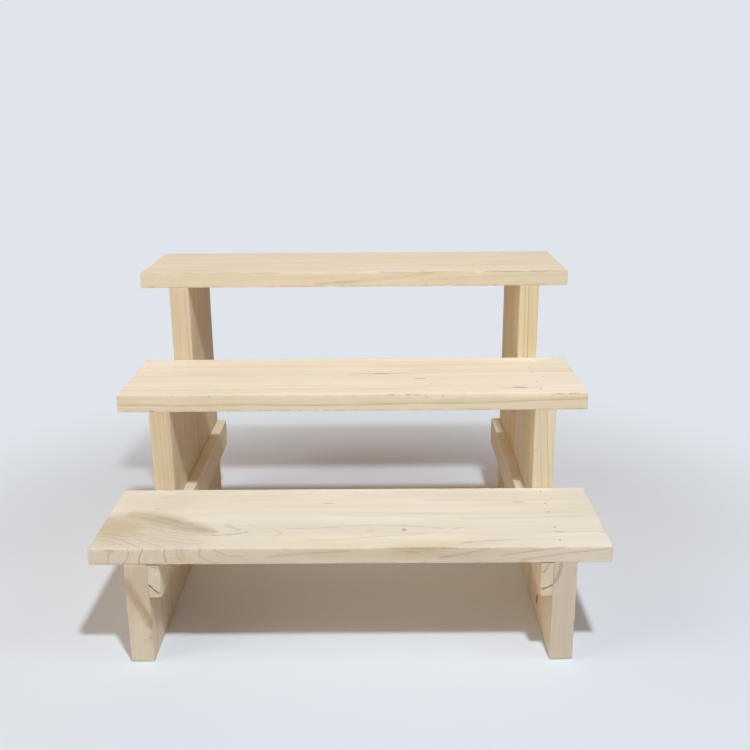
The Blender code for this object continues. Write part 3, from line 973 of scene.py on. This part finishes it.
# Back step
# The top shelf, a planed board a little yellower than the other two, nailed down into the back posts.
# The saw has left its front edges torn, and the rings on its front face run slantwise.
back_growth = round_heart(step_top("back", 0, 165) - HEART_BELOW, (1.0, -0.006, 0.006))
BACK_FACE_MARKS = [
    (1.1, brown, 0.28, (0, 0.5), (80, 0.6), (160, 0.5)),
    (1.1, brown, 0.32, (250, 0.6), (300, 0.6), (345, 0.5)),
    (1.2, dark, 0.42, (370, 0.5), (410, 0.7), (457, 0.4)),
    (3.6, brown, 0.2, (208, 11.4), (250, 8.4), (285, 5.2), (313, 2)),
    (1.4, brown, 0.32, (186, 13.2), (212, 11.2), (232, 10.4)),
    (3, green_grey, 0.36, (300, 9.4), (352, 6.4), (400, 5.2), (457, 4.6)),
    # Pale torn fibres at the chip in the top edge, partly painted highlight.
    (1.7, torn_fibre_highlight, 0.8, (358, 0.7), (368, 1)),
]
BACK_TOP_MARKS = [
    (1.6, green_grey, 0.7, (414, 83.7), (437, 83)),
    (1.4, green_grey, 0.65, (385, 51.5), (405, 51.5)),
    (1.6, green_grey, 0.55, (165, 84), (188, 84)),
]
BACK_STEP_STAINS = tints_and_painted_light_on(step_front, "back", [
    ((40, 8), (130, 6, 30), (0.775, 0.7, 0.515), 0.9),
    ((425, 8), (90, 6, 30), (0.775, 0.685, 0.515), 0.8)])
BACK_STEP_CHIPS = chips_on(step_front, "back", [
    ((363, 0), 5, 1.3), ((120, 16), 6, 0.6), ((205, 16), 8, 0.6), ((330, 16), 6, 0.6)])
BACK_STEP_RINGS = [((223, 52.2), 0.9, 0.22), ((223, 21.0), 0.9, 0.26)]
back_wood = pine("back_step_pine", grain=0, seed=63.1, early=(0.835, 0.715, 0.55), front_and_back_early=(0.81, 0.69, 0.50),
                 ring_width=0.006, ring_strength=0.10, tints_and_painted_light=BACK_STEP_STAINS,
                 marks=step_marks("back", BACK_TOP_MARKS, BACK_FACE_MARKS),
                 lines=rings_on(step_top, "back", back_growth, BACK_STEP_RINGS))
sawn_board("back_step", back_wood, {"growth": back_growth}, step_nails("back"),
           STEP_ARRIS, STEP_SPACING, BACK_STEP_CHIPS)

# Nails
# Bright steel finish nails, drawn wire with a small upset head, punched just below the surface.
# They go down through the steps into the posts, and out through the rails into the same posts.
HEAD_SIDES = 16
HEAD_DEPTH = 0.0005
HEAD_ROUND = 0.00015     # how far the head's rim is rounded over
DIMPLE = 0.0002          # depth of the dent in the head
SHANK_SHARE = 0.667      # the shank's width as a share of the head's
POINT_LENGTH = 0.0025
HEAD_TURN = math.radians(35)
DULL_STEEL = (0.50, 0.45, 0.38, 1.0)
BRIGHT_STEEL = (0.70, 0.65, 0.57, 1.0)


def steel():
    """Drawn steel wire, dulled by handling."""
    material, tree, shader = new_material("nail_steel")
    shader.inputs["Metallic"].default_value = 1.0
    place = tree.nodes.new("ShaderNodeTexCoord").outputs["Object"]
    dull = clouds(scaled(place, 1500.0), 3.0)
    feed(shader.inputs["Base Color"], blend(dull, DULL_STEEL, BRIGHT_STEEL))
    feed(shader.inputs["Roughness"], ease(dull, 0.2, 0.8, 0.35, 0.65))
    return material


def nail_piece(node, material):
    """A nail in the place of a node: a dimpled head, a straight shank and a point."""
    length, head, lie = nail_lie(node)
    shank = head * SHANK_SHARE
    shape = bmesh.new()
    profile = [(0.0, -DIMPLE), (head * 0.5, -DIMPLE / 2), (head * 0.85, 0.0), (head, -HEAD_ROUND),
               (head, -HEAD_DEPTH), (shank, -2 * HEAD_DEPTH), (shank, POINT_LENGTH - length), (0.0, -length)]
    points = [shape.verts.new((radius, 0.0, height)) for radius, height in profile]
    lines = [shape.edges.new(pair) for pair in zip(points, points[1:])]
    bmesh.ops.spin(shape, geom=points + lines, cent=(0.0, 0.0, 0.0), axis=(0.0, 0.0, 1.0),
                   angle=2 * math.pi, steps=HEAD_SIDES, use_merge=True)
    bmesh.ops.remove_doubles(shape, verts=shape.verts, dist=0.000002)
    bmesh.ops.recalc_face_normals(shape, faces=shape.faces)
    bmesh.ops.transform(shape, matrix=lie, verts=shape.verts)
    put_in_place(node, "_wire", finished(shape, node), material, HEAD_TURN)


wire = steel()
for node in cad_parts:
    if "_nail_" in node:
        nail_piece(node, wire)

# Floor
# A plain pale table top under the rack, far wider than the view, fading into a pale surround of one colour.
# The camera sees it a little bluer than the light that it throws back up under the steps.
FLOOR_REACH = 30.0
FLOOR_DROP = 0.0003
FLOOR_PALE = (0.745, 0.785, 0.835, 1.0)
FLOOR_WHITE = (0.80, 0.855, 0.935, 1.0)
FLOOR_BOUNCE = (0.80, 0.74, 0.69, 1.0)
FADE_START = 0.25
FADE_END = 0.70


def seen_directly(tree):
    """1 for what the camera sees, straight or by gloss or through glass, and 0 for light that bounces on."""
    path = tree.nodes.new("ShaderNodeLightPath").outputs
    seen = sums("MAXIMUM", path["Is Camera Ray"], path["Is Glossy Ray"])
    return sums("MAXIMUM", seen, path["Is Transmission Ray"])


floor_shape = bmesh.new()
bmesh.ops.create_grid(floor_shape, x_segments=1, y_segments=1, size=FLOOR_REACH,
                      matrix=Matrix.Translation((0.0, 0.0, -FLOOR_DROP)))
floor_mesh = finished(floor_shape, "floor")
floor = bpy.data.objects.new("floor", floor_mesh)
bpy.context.scene.collection.objects.link(floor)
floor_paint, tree, paint = new_material("floor_paint")
paint.inputs["Roughness"].default_value = 0.8
paint.inputs["Specular IOR Level"].default_value = 0.1
seen = seen_directly(tree)
feed(paint.inputs["Base Color"], blend(seen, FLOOR_BOUNCE, FLOOR_WHITE))
glow = tree.nodes.new("ShaderNodeEmission")
glow.inputs["Color"].default_value = FLOOR_PALE
glow.inputs["Strength"].default_value = 1.0
place = tree.nodes.new("ShaderNodeTexCoord").outputs["Object"]
far = ease(vectors("LENGTH", place), FADE_START, FADE_END)
fade = tree.nodes.new("ShaderNodeMixShader")
feed(fade.inputs[0], times(far, seen))
feed(fade.inputs[1], paint.outputs[0])
feed(fade.inputs[2], glow.outputs[0])
feed(tree.nodes["Material Output"].inputs["Surface"], fade.outputs[0])
floor_mesh.materials.append(floor_paint)

# Light
# One round lamp high in front of the rack and to its right, broad soft ones high on both sides and behind,
# a low one at the left, and a faint warm surround.
LIGHT_AIM = Vector((0.0, -0.05, 0.12))
# Each light: its place, its width, its watts and its colour.
LAMPS = {
    "lamp": ((0.247, -0.92, 1.69), 0.13, 21.1, (0.87, 0.95, 1.0)),
    "left_fill": ((-1.6, -0.6, 1.5), 1.2, 7.9, (0.96, 1.0, 0.97)),
    "right_fill": ((1.6, -0.6, 1.5), 1.2, 7.1, (0.95, 1.0, 0.97)),
    "back_fill": ((-0.3, 1.7, 1.2), 1.6, 6.5, (1.0, 0.76, 0.55)),
    "low_fill": ((-1.7, -1.1, 0.45), 1.2, 7.2, (1.0, 0.89, 0.63)),
}
SURROUND_FILL = (1.0, 0.56, 0.42, 1.0)
SURROUND_STRENGTH = 0.14
for name, (place, width, watts, colour) in LAMPS.items():
    light = bpy.data.lights.new(name, "AREA")
    light.shape = "DISK"
    light.size = width
    light.energy = watts
    light.color = colour
    lamp = bpy.data.objects.new(name, light)
    lamp.location = place
    lamp.rotation_euler = (LIGHT_AIM - lamp.location).to_track_quat("-Z", "Y").to_euler()
    bpy.context.scene.collection.objects.link(lamp)
surround = bpy.data.worlds.new("surround")
surround.use_nodes = True
tree = surround.node_tree
fill = tree.nodes["Background"]
fill.inputs["Color"].default_value = SURROUND_FILL
fill.inputs["Strength"].default_value = SURROUND_STRENGTH
pale = tree.nodes.new("ShaderNodeBackground")
pale.inputs["Color"].default_value = FLOOR_PALE
pale.inputs["Strength"].default_value = 1.0
shown = tree.nodes.new("ShaderNodeMixShader")
feed(shown.inputs[0], seen_directly(tree))
feed(shown.inputs[1], fill.outputs[0])
feed(shown.inputs[2], pale.outputs[0])
feed(tree.nodes["World Output"].inputs["Surface"], shown.outputs[0])
bpy.context.scene.world = surround

# Camera
# In front of the rack and above its top step, tipped down so that all three steps show their top faces.
# Its turn and its roll are under half a degree.
CAMERA_PLACE = Vector((0.0263, -0.9248, 0.4905))
CAMERA_TIP_DOWN = 0.2933
CAMERA_TURN = 0.0046
CAMERA_ROLL = -0.0081
CAMERA_LENS = 44.96
camera_data = bpy.data.cameras.new("camera")
camera_data.sensor_width = 36.0
camera_data.lens = CAMERA_LENS
camera_data.clip_start = 0.01
camera = bpy.data.objects.new("camera", camera_data)
camera.matrix_world = (Matrix.Translation(CAMERA_PLACE) @ Matrix.Rotation(CAMERA_TURN, 4, "Z")
                       @ Matrix.Rotation(math.pi / 2 - CAMERA_TIP_DOWN, 4, "X")
                       @ Matrix.Rotation(CAMERA_ROLL, 4, "Z"))
bpy.context.scene.collection.objects.link(camera)
bpy.context.scene.camera = camera
bpy.context.scene.view_settings.view_transform = "Standard"
